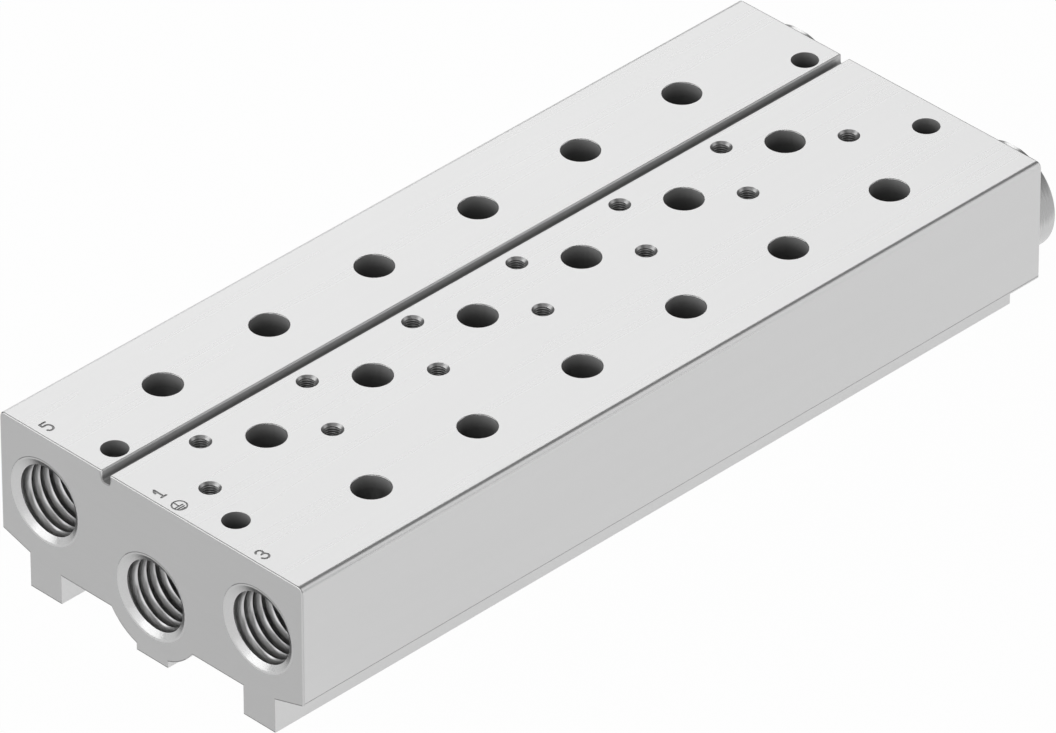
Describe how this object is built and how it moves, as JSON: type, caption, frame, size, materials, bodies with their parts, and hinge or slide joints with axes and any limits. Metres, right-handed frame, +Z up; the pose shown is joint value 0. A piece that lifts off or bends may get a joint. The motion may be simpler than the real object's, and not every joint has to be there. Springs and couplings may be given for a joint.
{
  "type": "valve manifold block",
  "caption": "Extruded aluminium manifold rail for pneumatic valves, with threaded ports at its open end, blanking plugs at its far end, and air ducts and screw holes in its top.",
  "frame": {"origin": "on the plane of the feet, in the middle of the rail's length and width", "axes": "+X runs along the rail from its open end to its plugged end, +Y towards exhaust port 5, +Z up out of the face that carries the valves"},
  "size_m": [0.1611, 0.0644, 0.029],
  "materials": {
    "rail_aluminium": "satin, with fine lengthwise lines of the extrusion, and plain milled ends",
    "plug_metal": "turned and plated, smooth",
    "ring_metal": "matt, stamped"
  },
  "bodies": {
    "root": {"manifold_block": "rail_aluminium", "blanking_plug_5": "plug_metal", "blanking_plug_1": "plug_metal", "blanking_plug_3": "plug_metal", "sealing_ring_5": "ring_metal", "sealing_ring_1": "ring_metal", "sealing_ring_3": "ring_metal"}
  },
  "joints": []
}
